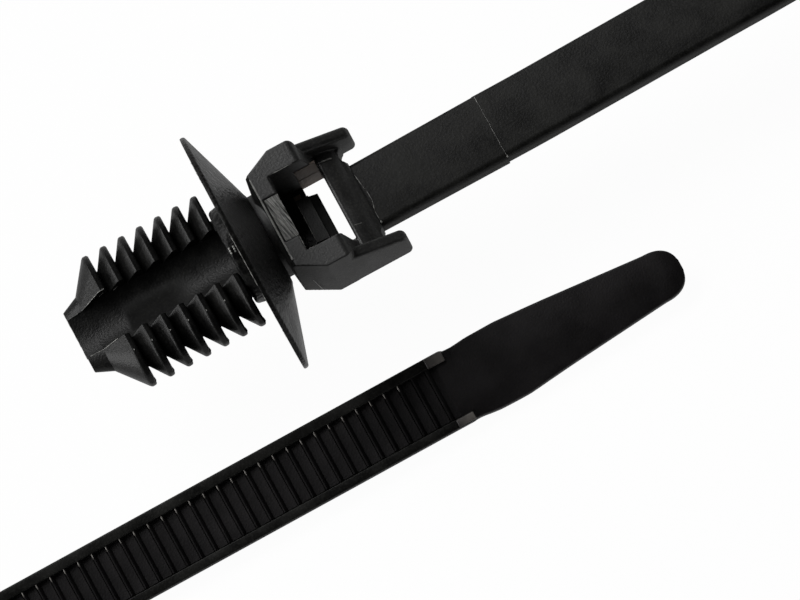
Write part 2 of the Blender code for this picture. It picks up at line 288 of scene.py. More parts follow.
firTree = {
    "fins": 7, "pitch": 1.333, "land": 0.46, "rimRound": 0.16,
    "halfWidth": 5.12, "halfHeight": 1.68, "rootHalfWidth": 3.81, "rootHalfHeight": 0.78,
    "firstFinLength": 2.01, "noseLength": 1.19, "noseHalfWidth": 2.38, "noseHalfHeight": 0.58,
    "breakHalfWidth": 2.945, "breakHalfHeight": 0.71, "flatShare": 0.6, "sideSteps": 20, "rimLean": 0.05,
    "channelHalfWidth": 1.76, "channelAtBreak": 1.59, "channelAtNose": 1.52, "webHalf": 0.34,
    "grooveRadius": 3.6, "grooveAtBreak": 4.3, "grooveAtNose": 5.6, "lean": 0.011, "splay": 0.0032,
    "turn": 0.0065, "noseWaver": 0.05, "neckLength": 0.13, "neckHalfWidth": 2.98, "neckHalfHeight": 1.2,
    "rootRound": 0.06, "noseRound": 0.04, "edge": 0.045,
}
neckX = -disc["bossHeight"] - firTree["neckLength"]
firstFinX = neckX - (firTree["fins"] - 1) * firTree["pitch"]
breakX = firstFinX - firTree["firstFinLength"]
noseX = breakX - firTree["noseLength"]


def finPoint(turn, x, halfWidth, halfHeight):
    steps = firTree["sideSteps"]
    side = 1 if turn <= steps else -1
    angle = pi * (turn if side > 0 else turn - steps - 1) / steps
    flat = halfWidth * firTree["flatShare"]
    y = flat + (halfWidth - flat) * sin(angle)
    return Vector((x, side * y, side * halfHeight * cos(angle)))


def finSway(at):  # the fins lean a little and the nose's end is uneven
    along = min(1, max(0, (at.x - firstFinX) / (neckX - firstFinX)))
    sway = -firTree["lean"] * at.y * (1 - along)
    if at.y < 0 and at.x > firstFinX:
        sway -= firTree["splay"] * at.y * (at.x - firstFinX)
    fade = min(1, max(0, (neckX + 0.15 - at.x) / 0.15 + 1))
    if at.x < breakX + 0.2:
        sway += firTree["noseWaver"] * noise.noise(Vector((at.y * 1.3, at.z, 2.0)))
    return sway * fade


def makeFirTree():
    f = firTree
    w, h, r = f["halfWidth"], f["halfHeight"], f["rimRound"]
    noseRound, rootRound = f["noseRound"], f["rootRound"]
    neck = (f["neckHalfWidth"], f["neckHalfHeight"])
    sections = [(noseX + noseRound, f["noseHalfWidth"], f["noseHalfHeight"]),
                (breakX, f["breakHalfWidth"], f["breakHalfHeight"])]
    for i in range(f["fins"]):
        back = firstFinX + i * f["pitch"]
        front = back - f["land"]
        if i == 0:
            sections.append((front - 0.02, w - 0.10, h - 0.06))
        for t in (0.0, 0.3, 0.65, 1):  # the rim's rounded front
            sections.append((front + r * t, w - r * 0.55 * (1 - t) ** 2, h - r * 0.35 * (1 - t) ** 2))
        for t in (0.15, 0.45, 0.7, 0.88, 1):  # and its rounded back edge
            drop = r * (1 - (1 - t * t) ** 0.5)
            sections.append((back - r * (1 - t), w - drop, h - drop - f["rimLean"]))
        low = neck if i == f["fins"] - 1 else (f["rootHalfWidth"], f["rootHalfHeight"])
        sections.append((back, low[0] + rootRound, low[1] + rootRound))
        sections.append((back + 0.05, *low))
    sections.append((disc["depth"] / 2, *neck))
    bm = bmesh.new()
    count = 2 * (f["sideSteps"] + 1)
    layer, cap = startCap(bm, count, lambda i: finPoint(i, noseX, f["noseHalfWidth"] - noseRound,
                                                        f["noseHalfHeight"] - noseRound))
    for x, width, height in sections:
        cap = extrudeTo(bm, cap, layer, lambda i: finPoint(i, x, width, height))
    tree = toObject("firTree", bm)
    nose = (f["channelAtNose"], f["grooveAtNose"])
    full = (f["channelHalfWidth"], f["grooveRadius"])
    places = ((noseX - 1, *nose), (noseX, *nose), (breakX, f["channelAtBreak"], f["grooveAtBreak"]),
              (firstFinX - f["land"], *full), (-disc["bossHeight"], *full))
    for side in (1, -1):  # the groove's floor is hollow and it narrows towards the nose
        stations = []
        for x, c, radius in places:
            half = np.arcsin(c / radius)
            floor = arc(0, f["webHalf"] + radius, radius, -pi / 2 - half, -pi / 2 + half, 24)
            stations.append((x, [(y, side * z) for y, z in floor + [(c, 4), (-c, 4)]]))
        combine(tree, sweep("groove", stations), "DIFFERENCE")
    ends = [v.co.x for v in tree.data.vertices]
    for edge in tree.data.edges:  # a crisp line where the nose meets the first fin
        edge.use_edge_sharp = all(abs(ends[i] - breakX) < 0.01 for i in edge.vertices)
    softenEdges(tree, f["edge"], 50)
    middle = (noseX + neckX) / 2
    for v in tree.data.vertices:  # the moulding came out of true by a few hundredths
        v.co.y += f["turn"] * (v.co.x - middle) * (v.co.x < 0.1)
        v.co.x += finSway(v.co)
    print("fir tree:", len(tree.data.polygons), "faces")
    return tree


# head: block, crossbar and two arms joined, then the window, notches and gate mark cut

hub = {"halfWidth": 3.08, "halfHeight": 2.2, "middle": 0.16}
head = {
    "start": 2.55, "halfWidth": 4.65, "faceHalfWidth": 3.56, "chamfer": 2.07, "top": 2.25, "bottom": -2.16,
    "faceBulge": 0.15, "bulgeFrom": -2.2, "bulgeTo": 2.6, "block": 3.89, "blockRound": 0.5, "leftEdge": 0.22,
    "endWall": 1.35, "windowHalf": 2.95, "window": 3.17, "crossbar": 1.77, "crossbarTop": -0.16,
    "crossbarCrown": 2.0, "crossbarRound": 0.2, "flank": 0.06,
    "ramp": ((6.62, 1.05), (6.78, 0.4), (6.87, 0.12), (6.96, -0.06)),
    "armWall": 0.85, "armReach": 1.1, "lowerArmReach": 1.18, "armTop": 1.2, "armEndTop": 0.0,
    "armRound": 0.36, "armEdge": 0.3, "lowArmEdge": 0.18, "notchDepth": 0.27, "lowerNotchDepth": 0.17,
    "gateHalf": 1.69, "gateLeft": 0.36, "gateDepth": 0.09, "grid": 0.045, "softness": 3, "keep": 0.3,
}
headX = head["start"]
blockEndX = headX + head["block"]
windowX = headX + head["endWall"]
crossbarX = windowX + head["window"]
crossbarEndX = crossbarX + head["crossbar"]
armEndX = crossbarEndX + head["armReach"]
strapX = crossbarEndX - 0.845


def headBlock():  # chamfered towards the disc, with a bulge between the chamfers
    h = head
    w, top, bottom, bulgeX = h["halfWidth"], h["top"], h["bottom"], headX - h["faceBulge"]
    shoulderX = headX + h["chamfer"]
    plan = [(bulgeX, h["bulgeFrom"]), (headX, -h["faceHalfWidth"] + 0.1), (shoulderX, -w - 0.02),
            (blockEndX, -w - 0.02), (blockEndX, w), (shoulderX, w), (headX, h["faceHalfWidth"] + 0.08),
            (bulgeX, h["bulgeTo"])]
    block = prism("head", [(x, y, bottom) for x, y in plan], (0, 0, top - bottom), h["blockRound"],
                  lambda at: at.x > blockEndX - 0.01 or (at.x > shoulderX + 0.1 and at.z > top - 0.01))
    edgeX = headX + h["leftEdge"]
    wedge = [(edgeX - 1, top - 1), (edgeX + 0.5, top + 0.5), (edgeX - 1, top + 0.5)]
    combine(block, slab("leftEdge", wedge, w), "DIFFERENCE")
    return block


def addCrossbar(body):  # a ramp down from the block, then the bar with its crowned top
    h = head
    low, bottom, crown, edge = h["crossbarTop"], h["bottom"], h["crossbarCrown"], h["crossbarRound"]
    half = h["halfWidth"] - h["armWall"] + 0.3
    ramp = [(blockEndX - 0.6, -1.5), (blockEndX - 0.6, 1.6), (blockEndX + 0.04, 1.6), *h["ramp"],
            (7.06, low), (7.3, low - 0.1), (7.3, -1.5)]
    combine(body, slab("ramp", ramp, half), "UNION")
    flankX = crossbarEndX + h["flank"]
    bar = [(blockEndX - 0.5, bottom), (blockEndX - 0.5, low - 0.5), (crossbarX - 0.01, low - 0.35)]
    bar += arc(crossbarX + edge, low + 0.05 - edge, edge, pi, pi / 2, 6)
    bar += arc(crossbarX + 0.03, low + 0.04 - crown, crown, pi / 2 - 0.12, pi / 2 - 0.8, 8)
    bar += [(flankX - 0.12, low - 0.66), (flankX, low - 0.85), (flankX, bottom)]
    combine(body, slab("crossbar", bar, half), "UNION")


def cutNotches(body):  # round notches between the strap's root and the arms
    inner, outer = strap["rootWidth"] / 2, head["halfWidth"] - head["armWall"]
    radius = (outer - inner) / 2
    for side, depth in ((1, head["notchDepth"]), (-1, head["lowerNotchDepth"])):
        notch = arc(crossbarEndX - depth + radius, (inner + outer) / 2, radius, pi * 1.5, pi / 2, 16)
        notch += [(armEndX + 1, outer), (armEndX + 1, inner)]
        combine(body, prism("notch", [(x, side * y, -5) for x, y in notch], (0, 0, 7)), "DIFFERENCE")


def addArms(body):  # each falls away towards its end and closes in a round
    h = head
    start, half = windowX + h["window"] / 2, h["armWall"] / 2
    slope = (h["armTop"] - h["armEndTop"]) / (armEndX - blockEndX)
    shares = np.append(np.linspace(0, 0.85, 8), 1 - np.linspace(0.37, 0, 9) ** 2)
    for side, reach, edge in ((1, h["armReach"], h["armEdge"]), (-1, h["lowerArmReach"], h["lowArmEdge"])):
        stations = []
        endX = crossbarEndX + reach
        for x in start + (endX - start) * shares:
            armTop = min(h["armTop"] + 0.25, h["armTop"] - slope * (x - blockEndX))
            left = max(0, h["armRound"] - (endX - x)) / h["armRound"]
            closing = h["armRound"] * (1 - (1 - left * left) ** 0.5) * 0.9
            wall = half - closing * 0.8
            stations.append((x, barSection(wall, armTop - closing, h["bottom"] + closing * 0.6,
                                           min(edge, wall - 0.01), 0.06)))
        limb = sweep("arm", stations)
        limb.data.transform(Matrix.Translation((0, side * (h["halfWidth"] - half), 0)))
        combine(body, limb, "UNION")


def addHub(body):
    bm = bmesh.new()
    bmesh.ops.create_cone(bm, cap_ends=True, segments=72, radius1=1, radius2=1, depth=1)
    length = headX - disc["depth"] + disc["wall"] / 2 + head["endWall"] / 2
    bmesh.ops.scale(bm, vec=(hub["halfHeight"], hub["halfWidth"], length), verts=bm.verts)
    bmesh.ops.rotate(bm, cent=(0, 0, 0), matrix=Matrix.Rotation(pi / 2, 3, "Y"), verts=bm.verts)
    bmesh.ops.translate(bm, vec=(disc["depth"] - disc["wall"] / 2 + length / 2, hub["middle"], 0), verts=bm.verts)
    combine(body, toObject("hub", bm), "UNION")


def makeHead():
    h = head
    half = h["windowHalf"]
    body = headBlock()
    addCrossbar(body)
    cutNotches(body)
    addArms(body)
    combine(body, box("window", (windowX, -half, -5), (crossbarX, half, 5)), "DIFFERENCE")
    fillet = box("fillet", (6.6, -half - 0.1, -1.4), (crossbarX + 0.1, -half + 0.25, -0.35))
    combine(body, fillet, "UNION")
    addHub(body)
    gateLow = (headX + h["gateLeft"], -h["gateHalf"] - 0.06, h["top"] - h["gateDepth"])
    combine(body, box("gate", gateLow, (windowX + 0.5, h["gateHalf"] - 0.06, 5)), "DIFFERENCE")
    mouldedSkin(body, h["grid"], h["softness"], h["keep"])
    print("head:", len(body.data.polygons), "faces")
    return body


# gate mark: the torn patch on the head where the part was broken off its runner

gate = {"columns": 44, "rows": 90, "relief": 0.035, "skew": 0.16, "gap": 0.05}


def makeGate():
    left, right = headX + head["gateLeft"] + gate["gap"], windowX + 0.03
    half, top = head["gateHalf"] - gate["gap"], head["top"]

    def torn(across, along):
        x, y = left + across * (right - left), (along - 0.5) * 2 * half - 0.06
        skewed = x + y * gate["skew"]
        fibre = noise.noise(Vector((skewed * 9.0, y * 0.8, 3.0)))
        fine = noise.noise(Vector((skewed * 22.0, y * 1.6, 8.0)))
        return x, y, top - 0.03 + gate["relief"] * (fibre + 0.5 * fine)

    floor = top - head["gateDepth"] - 0.05
    return gridPatch("gateMark", gate["columns"], gate["rows"], torn, lambda at: (at.x, at.y, floor))


# lit wall patch: painted bounce light, the window's side wall beside the pawl painted warm and brownish as if lit
# from the white table below

litWallPatch = {
    "left": 5.5, "right": 7.03, "low": -1.95, "high": 0.86, "ledge": -0.6, "step": 0.03, "relief": 0.012,
    "columns": 36, "rows": 60,
}


def makeLitWallPatch():
    t = litWallPatch
    face = head["windowHalf"] - 0.035

    def wavy(across, upwards):
        x = t["left"] + across * (t["right"] - t["left"])
        z = t["low"] + upwards * (t["high"] - t["low"])
        step = t["step"] * float(smoothStep((t["ledge"] - z) / 0.08 + 0.5))
        return x, face - step + t["relief"] * noise.noise(Vector((x * 4, z * 2, 4.0))), z

    wall = gridPatch("litWallPatch", t["columns"], t["rows"], wavy,
                     lambda at: (at.x, head["windowHalf"] + 0.1, at.z))
    x0, half = windowX + pawl["gap"], pawl["halfWidth"]  # the cheeks join the pawl to the window's sides
    # painted bounce light: the pawl's cheeks get the same warm brownish colour as the side wall
    cheeks = box("pawlCheeks", (x0 + 0.02, half - 0.03, -1.2), (x0 + 0.5, half + 0.42, -0.62))
    combine(cheeks, box("lowCheek", (x0 + 0.05, -half - 0.1, -1.2), (x0 + 0.85, -half + 0.03, -0.56)), "UNION")
    softenEdges(cheeks, 0.03, 40)
    return wall, cheeks


# pawl: a toothed tongue on a thin hinge web, low in the window

pawl = {
    "halfWidth": 1.67, "gap": 0.78, "topLength": 0.93, "length": 1.54, "top": -0.4,
    "shelf": -0.64, "bottom": -1.9, "teeth": 3, "toothDepth": 0.22, "edge": 0.05,
    "webLength": 1.62, "webThickness": 0.35,
}


def makePawl():
    p = pawl
    x0 = windowX + p["gap"]
    pitch = (p["shelf"] - p["bottom"]) / (p["teeth"] + 1)
    outline = [(x0, p["bottom"]), (x0, p["top"]), (x0 + p["topLength"], p["top"] - 0.1),
               (x0 + p["topLength"], p["shelf"] - 0.05)]
    for i in range(p["teeth"]):
        outline.append((x0 + p["length"], p["shelf"] - i * pitch - (0 if i else 0.3)))
        outline.append((x0 + p["length"] - p["toothDepth"], p["shelf"] - (i + 1) * pitch))
    outline.append((x0 + p["length"] - 2 * p["toothDepth"], p["bottom"]))
    tongue = slab("pawl", outline, p["halfWidth"])
    half = head["windowHalf"] + 0.3
    web = box("web", (windowX - 0.3, -half, head["bottom"] + 0.01),
              (windowX + p["webLength"], half, head["bottom"] + p["webThickness"]))
    combine(tongue, web, "UNION")
    softenEdges(tongue, p["edge"], 40)
    print("pawl:", len(tongue.data.polygons), "faces")
    return tongue


# strap: modelled flat as (along, across, up), then laid along its way round

strap = {
    "length": 329.7, "rootWidth": 4.96, "rootFlare": 0.15, "headWidth": 5.07, "shift": 0.15,
    "width": 5.135, "widerFrom": 45.0, "widerTo": 95.0, "thickness": 1.1, "topRound": 0.42, "rail": 0.62,
    "witness": 10.2, "ladderStart": 10.84, "teeth": 293, "pitch": 1.031, "toothDepth": 0.38,
    "crestDrop": 0.1, "crest": 0.08, "slope": 0.22, "slot": 0.1, "toothShift": -0.19, "wideRail": 0.085,
    "crestHighlightLength": 0.26, "crestHighlightRadius": 0.055, "railEnd": 0.42, "tipDrop": 0.2,
}
tip = {
    "length": 16.76, "shoulder": 5.26, "shoulderAt": 4.2, "neck": 3.4, "roundLength": 2.0, "overlap": 0.45,
    "waist": 0.11, "sag": 0.065, "crown": 0.22, "endDrop": 0.12, "steps": 72,
}
route = {
    "lean": radians(1.12), "leanLength": 4.0, "firstTurnStart": 37.2, "returnOffset": 33.0,
    "secondTurnX": -29.445, "tailOffset": -12.525, "tailLean": 0.0052, "firstTwistStart": 27.2,
    "firstTwistLength": 26.0, "secondTwistLength": 27.0, "secondTwistOverrun": 4.5,
    "tailRoll": radians(16), "dropStart": 26.2, "dropLength": 52.0,
}
ladderEnd = strap["ladderStart"] + strap["teeth"] * strap["pitch"]
strapHalf = strap["thickness"] / 2


def routeTables():  # place, heading and roll of the strap's middle at each length along it
    r = route
    step = 0.1
    share = float(np.mean(np.sin(pi * smoothStep(np.arange(0, 1, 0.001) + 0.0005))))
    s = np.arange(0, strap["length"] + step, step)
    firstTurn = r["returnOffset"] / share
    heading = r["lean"] * smoothStep((s - strap["ladderStart"]) / r["leanLength"])
    heading += (pi - r["lean"]) * smoothStep((s - r["firstTurnStart"]) / firstTurn)
    returnY = float(np.sum(np.sin(heading[s < r["firstTurnStart"] + firstTurn]))) * step
    secondTurn = (returnY - r["tailOffset"]) / share
    firstTurnX = strapX + r["firstTurnStart"]
    secondStart = r["firstTurnStart"] + firstTurn + firstTurnX - r["secondTurnX"]
    twistStart = secondStart + secondTurn + r["secondTwistOverrun"] - r["secondTwistLength"]
    heading += pi * smoothStep((s - secondStart) / secondTurn)
    tail = smoothStep((s - secondStart - secondTurn) / 4) - smoothStep((s - ladderEnd + 2) / 4)
    heading += r["tailLean"] * tail
    roll = pi / 2 * smoothStep((s - r["firstTwistStart"]) / r["firstTwistLength"])
    roll += (pi / 2 + r["tailRoll"]) * smoothStep((s - twistStart) / r["secondTwistLength"])
    rest = floorZ + strap["width"] / 2 * abs(np.sin(roll)) + strapHalf * abs(np.cos(roll))
    lift = head["bottom"] - floorZ
    z = rest + lift * (1 - smoothStep((s - r["dropStart"]) / r["dropLength"]))
    x = strapX + np.cumsum(np.cos(heading)) * step - step
    y = np.cumsum(np.sin(heading)) * step
    return s, x, y, z, heading, roll


def layStrap(obj):
    s, x, y, z, heading, roll = routeTables()
    flat = np.empty(len(obj.data.vertices) * 3)
    obj.data.vertices.foreach_get("co", flat)
    along, across, up = flat.reshape(-1, 3).T
    x, y, z, heading, roll = [np.interp(along, s, table) for table in (x, y, z, heading, roll)]
    sideways = across * np.cos(roll) - up * np.sin(roll)
    laid = np.stack((x - np.sin(heading) * sideways, y + np.cos(heading) * sideways,
                     z + across * np.sin(roll) + up * np.cos(roll)), axis=1)
    obj.data.vertices.foreach_set("co", laid.ravel())
    obj.data.update()


def strapHalfWidth(s):
    wide = smoothStep((s - strap["widerFrom"]) / (strap["widerTo"] - strap["widerFrom"]))
    return (strap["headWidth"] + (strap["width"] - strap["headWidth"]) * float(wide)) / 2


def strapShift(s):  # the two halves of the mould met a little out of line here
    return strap["shift"] * (1 - float(smoothStep((s - strap["widerFrom"]) / 50)))


def ladderSection(halfWidth, top, bottom, topRound, depth):
    inner = halfWidth - strap["rail"]
    points = arc(halfWidth - topRound, top - topRound, topRound, pi / 2, 0, 6)
    points += arc(halfWidth - 0.12, bottom + 0.12, 0.12, 0, -pi / 2, 3)
    points += arc(inner + 0.06, bottom + 0.06, 0.06, -pi / 2, -pi, 3)
    points += [(inner, bottom + depth - 0.05), (inner - 0.05, bottom + depth)]
    return points + [(-a + (strap["wideRail"] if a < inner + 0.08 else 0), u) for a, u in reversed(points)]


def tipHalfWidth(along):
    full, shoulder, neck = strap["width"] / 2, tip["shoulder"] / 2, tip["neck"] / 2
    taperEnd = tip["length"] - tip["roundLength"]
    if along < tip["shoulderAt"]:
        waist = tip["waist"] * max(0.0, 1 - abs(along - strap["railEnd"] - 0.35) / 1.3)
        width = full + (shoulder - full) * sin(pi / 2 * along / tip["shoulderAt"]) - waist
    else:
        share = min((along - tip["shoulderAt"]) / (taperEnd - tip["shoulderAt"]), 1)
        width = shoulder + (neck - shoulder) * share
    if along > taperEnd:
        rest = (along - taperEnd) / tip["roundLength"]
        width *= max(0.02, 1 - rest ** 2.5) ** (1 / 2.5)
    return width


def makeTeeth():
    t = strap
    bm = bmesh.new()
    crestUp, floorUp = t["crestDrop"] - strapHalf, t["toothDepth"] - strapHalf
    side = [(0, floorUp + 0.05), (0, crestUp), (t["crest"], crestUp), (t["crest"] + t["slope"], floorUp - 0.02),
            (t["pitch"] * 0.93, floorUp - 0.07), (t["pitch"] + 0.01, floorUp + 0.05)]
    pushOutline(bm, [(a, -1, u) for a, u in side], (0, 2, 0))
    copyAlong(bm, t["teeth"], t["pitch"])
    for v in bm.verts:  # each tooth reaches from one rail to a thin slot beside the other
        s = v.co.x + t["ladderStart"]
        inner = strapHalfWidth(s) - t["rail"]
        v.co.y = strapShift(s) + (inner - t["slot"] if v.co.y > 0 else -inner + t["wideRail"] - 0.03)
    bmesh.ops.translate(bm, verts=bm.verts, vec=(t["ladderStart"] + t["toothShift"], 0, 0))
    return toObject("teeth", bm, weld=False)


def makeCrestHighlights():  # painted highlight: a pale bead at each crest's end by the rail, where the corner catches the light
    t = strap
    bm = bmesh.new()
    bmesh.ops.create_icosphere(bm, subdivisions=1, radius=1)
    bmesh.ops.scale(bm, vec=(t["crestHighlightRadius"], t["crestHighlightLength"], t["crestHighlightRadius"]), verts=bm.verts)
    copyAlong(bm, t["teeth"] - 2, t["pitch"], lambda i: 0.75 + 0.4 * noise.noise(Vector((i * 0.7, 0, 0))))
    start = t["ladderStart"] + t["toothShift"] + t["crest"] / 2
    for v in bm.verts:
        v.co.x += start
        v.co.y += strapShift(v.co.x) - strapHalfWidth(v.co.x) + t["rail"] + t["wideRail"] + 0.2
        v.co.z += t["crestDrop"] - strapHalf - 0.01
    beads = toObject("crestHighlights", bm, weld=False)
    layStrap(beads)
    shade(beads)
    return beads


def makeRoot():  # the plain stretch at the head, which ends in the witness line of the mould
    t, half = strap, strapHalf
    stations = []
    for i in range(25):
        flare = 0.017 + t["rootFlare"] * i / 24  # it widens on its upper side only
        section = barSection((t["rootWidth"] + flare) / 2, half, -half, t["topRound"], 0.08)
        stations.append((t["witness"] * i / 24, [(a + flare / 2, u) for a, u in section]))
    return sweep("strapRoot", stations)


def makeBand():
    t, half = strap, strapHalf
    start, steps = t["witness"] - 0.2, t["teeth"] * 2
    stations = []
    for i in range(steps + 1):
        s = start + (ladderEnd - start) * i / steps
        depth = t["toothDepth"] if s > t["ladderStart"] - 0.01 else 0.06
        section = ladderSection(strapHalfWidth(s), half - 0.02, -half, t["topRound"], depth)
        stations.append((s, [(a + strapShift(s), u) for a, u in section]))
    for share in (0.25, 0.5, 0.75, 0.9, 1):  # the rails run out in a short round end
        drop = t["tipDrop"] * share ** 3
        section = ladderSection(t["width"] / 2 - 0.1 * share ** 3, half - 0.02, -half + drop, t["topRound"],
                                t["toothDepth"] - drop)
        stations.append((ladderEnd + t["railEnd"] * share, section))
    return sweep("strap", stations)


def makeTip():
    stations = []
    for i in range(tip["steps"] + 1):
        share = 1 - (1 - i / tip["steps"]) ** 1.5
        along = (tip["length"] + tip["overlap"]) * share - tip["overlap"]
        width = tipHalfWidth(max(along, 0))
        crown = min(tip["crown"], width * 0.3)
        end = tip["endDrop"] * float(smoothStep((along - tip["length"] + 1.2) / 1.2))
        sag = tip["sag"] * float(smoothStep(along / 1.5) * (1 - smoothStep((along - 3) / 5)))
        section = barSection(width, strapHalf - 0.03 - end, strap["tipDrop"] - strapHalf + end, crown, crown * 0.7)
        stations.append((ladderEnd + along, [(a + sag, u) for a, u in section]))
    return sweep("tip", stations)


def makeStrap():
    parts = makeRoot(), makeBand(), makeTeeth(), makeTip()
    for obj in parts:
        layStrap(obj)
        shade(obj, 34)
    print("strap:", sum(len(obj.data.polygons) for obj in parts), "faces")
    return parts


# pads: the two rail ends beside the tip, painted pale as a highlight where their sloping ends catch the light

pads = {
    "length": 1.25, "height": 0.3, "inset": 0.1, "edge": 0.06, "rise": 0.03, "wider": 0.17,
    "fadeFrom": 7.2, "fadeTo": 8.6,
}


def makePads():
    p = pads
    rail = strap["rail"]
    middle = ladderEnd + strap["railEnd"] * 0.75 - p["length"] / 2
    height = p["height"] / 2 - p["rise"] - strapHalf
    ends = []
    for name, side, wider in (("railPadLeft", 1, 0), ("railPadRight", -1, p["wider"])):
        bm = bmesh.new()
        bmesh.ops.create_cube(bm, size=1.0)
        bmesh.ops.scale(bm, vec=(p["length"], rail - p["inset"] + wider, p["height"]), verts=bm.verts)
        bmesh.ops.bevel(bm, geom=bm.edges[:], offset=p["edge"], offset_type="OFFSET", affect="EDGES",
                        segments=3, profile=0.5, material=-1)
        across = side * (strap["width"] / 2 - rail / 2 - wider / 2)
        bmesh.ops.translate(bm, verts=bm.verts, vec=(middle, across, height))
        pad = toObject(name, bm)
        layStrap(pad)
        shade(pad)
        ends.append(pad)
    return ends


# flash: the thin pale lines and specks that the mould left; along edges the pale lines are partly painted
# highlight, where light catches them

flash = {"line": 0.028, "speck": 0.05, "headHighlight": 0.062, "finBead": 0.085}
strapTop = head["bottom"] + strap["thickness"] + 0.005
witnessX = strapX + strap["witness"]
witnessHalf = strap["headWidth"] / 2 - 0.2


def finTop(x):  # height of the fir tree's flat top along its nose and first fin
    f = firTree
    if x < breakX:
        return f["noseHalfHeight"] + (f["breakHalfHeight"] - f["noseHalfHeight"]) * (x - noseX) / f["noseLength"]
    t = (x - breakX) / (f["firstFinLength"] - f["land"])
    return f["breakHalfHeight"] + (f["halfHeight"] - f["breakHalfHeight"]) * min(t, 1)


def grooveEdge(x):
    f = firTree
    places = (noseX, breakX, firstFinX - f["land"])
    return float(np.interp(x, places, (f["channelAtNose"], f["channelAtBreak"], f["channelHalfWidth"])))


def barTopAt(x):  # the crossbar's crowned top
    crest = crossbarX + 0.03
    return head["crossbarTop"] + 0.04 - (x - crest) ** 2 / (2 * head["crossbarCrown"]) * (x > crest)


def makeFinBeads():  # a bead at the end of each fin's back
    paths = []
    for i in range(firTree["fins"]):
        back = firstFinX + i * firTree["pitch"]
        for side, size in ((-1, 1.0), (1, 0.45)):
            path = []
            for inset, share in ((0.5, 0.3), (0.3, 0.9), (0.12, 1.1), (0.03, 0.5)):
                at = Vector((back - 0.035, side * (firTree["halfWidth"] - inset), 0.1))
                path.append((at.x + finSway(at), at.y, at.z, share * size))
            paths.append(path)
    return slivers("finBeads", paths, flash["finBead"])


def combLines():  # along the groove's edges and the web's torn nose end
    web, hollow, edge = firTree["webHalf"], firTree["grooveAtNose"], firTree["channelHalfWidth"] - 0.01
    lines = [[(x, grooveEdge(x), finTop(x) - 0.01, 0.35 + 0.5 * (x > noseX + 1.6))
              for x in np.linspace(noseX + 0.2, firstFinX - 0.1, 24)],
             [(x, -grooveEdge(x), finTop(x) - 0.01, 0.8) for x in np.linspace(noseX + 0.25, noseX + 2.4, 16)],
             ragged((-9.86, edge, 0.75), (-9.0, edge, 1.25), 6, 0.02, 1),
             ragged((-8.5, edge, 0.75), (-8.05, edge, 1.05), 5, 0.02, 2)]
    for start, end, seed in ((1.6, 0.5, 21), (0.2, -0.5, 22), (-0.8, -1.6, 23)):
        lines.append([(noseX + 0.02 * noise.noise(Vector((seed, y * 3, 0))), y,
                       web + hollow - (hollow ** 2 - y * y) ** 0.5, 0.7) for y in np.linspace(start, end, 8)])
    return lines


def headLines():  # round the window, on the pawl and on the crossbar
    edge, top = head["windowHalf"] + 0.02, head["top"] - 0.012
    tongue = windowX + pawl["gap"] + 0.03
    # painted reflection: the first, thickest line lies in the corner between the crossbar and the upper arm
    return [[(x, 3.12 + 0.01 * sin(x * 9), barTopAt(x) + 0.03, 2.0) for x in np.linspace(7.18, 8.1, 10)],
            ragged((windowX + 0.1, edge, top), (blockEndX - 0.75, edge, top), 16, 0.05, 15),
            ragged((windowX + 0.1, -edge, top), (windowX + 0.7, -edge, top), 6, 0.05, 16),
            ragged((windowX - 0.01, -1.85, top), (windowX - 0.01, -2.8, top), 8, 0.03, 17),
            ragged((tongue, 1.5, pawl["top"] + 0.002), (tongue, -1.55, pawl["top"] + 0.01), 24, 0.03, 18),
            [(x, -1.98 + 0.02 * sin(x * 7), barTopAt(x) - 0.005, 0.8) for x in np.linspace(7.34, 7.85, 8)]]


def strapLines():  # where the strap leaves the crossbar, the witness line and one on the head's wall
    seam = [(8.9, 1.63), (9.08, 0.4), (9.1, 0.2), (9.16, -0.54), (8.97, -1.3)]
    lines = [ragged((*seam[i], strapTop), (*seam[j], strapTop), steps, wander, seed)
             for i, j, steps, wander, seed in ((0, 1, 9, 0.08, 5), (2, 3, 6, 0.05, 6), (3, 4, 8, 0.08, 7))]
    lines.append(ragged((*seam[4], strapTop), (8.99, -2.2, strapTop - 0.03), 8, 0.05, 10))
    lines.append([(witnessX + 0.015 * sin(y * 5), y + 0.05, strapTop - 0.01, 0.5 + 0.3 * (y > 1.7))
                  for y in np.linspace(witnessHalf, -witnessHalf, 30)])
    lines.append(ragged((3.3, -4.05, 0.0), (3.6, -4.19, -1.8), 8, 0.02, 9))
    return lines


def rimLines():  # broken pale arcs along the disc's rim
    lines, radius = [], disc["radius"]
    for start, end, seed in ((-10, 16, 12), (20, 34, 11), (41, 47, 13), (-52, -38, 14)):
        turns = np.radians(np.linspace(start, end, 22)) + radians(24)
        lines.append([(0.01 + disc["bend"] * radius * max(0, sin(t)), radius * sin(-t), radius * cos(t),
                       0.4 + 2.2 * abs(noise.noise(Vector((seed, t * 30, 0))))) for t in turns])
    return lines


def makeSpecks():
    f = firTree
    spots = [(firstFinX - 0.2 + i * f["pitch"], -f["halfWidth"] * f["flatShare"], f["halfHeight"], 1)
             for i in range(f["fins"] - 1)]
    spots += [(8.99, -2.24, strapTop, 1.6), (witnessX, witnessHalf + 0.06, strapTop - 0.05, 1.3),
              (witnessX + 0.03, -witnessHalf - 0.06, strapTop - 0.06, 1.4)]
    for i in range(6):  # a torn speck on the boss
        y = -0.75 - (i % 3) * 0.16
        spots.append((-0.5 + (i // 3) * 0.3, y, (disc["boss"] ** 2 - y * y) ** 0.5 - 0.04, 1.5))
    bm = bmesh.new()
    for x, y, z, size in spots:
        made = bmesh.ops.create_icosphere(bm, subdivisions=2, radius=flash["speck"] * size)["verts"]
        bmesh.ops.scale(bm, vec=(0.9, 1.2, 0.6), verts=made)
        bmesh.ops.translate(bm, vec=(x, y, z), verts=made)
    specks = toObject("flashSpecks", bm)
    shade(specks)
    return specks


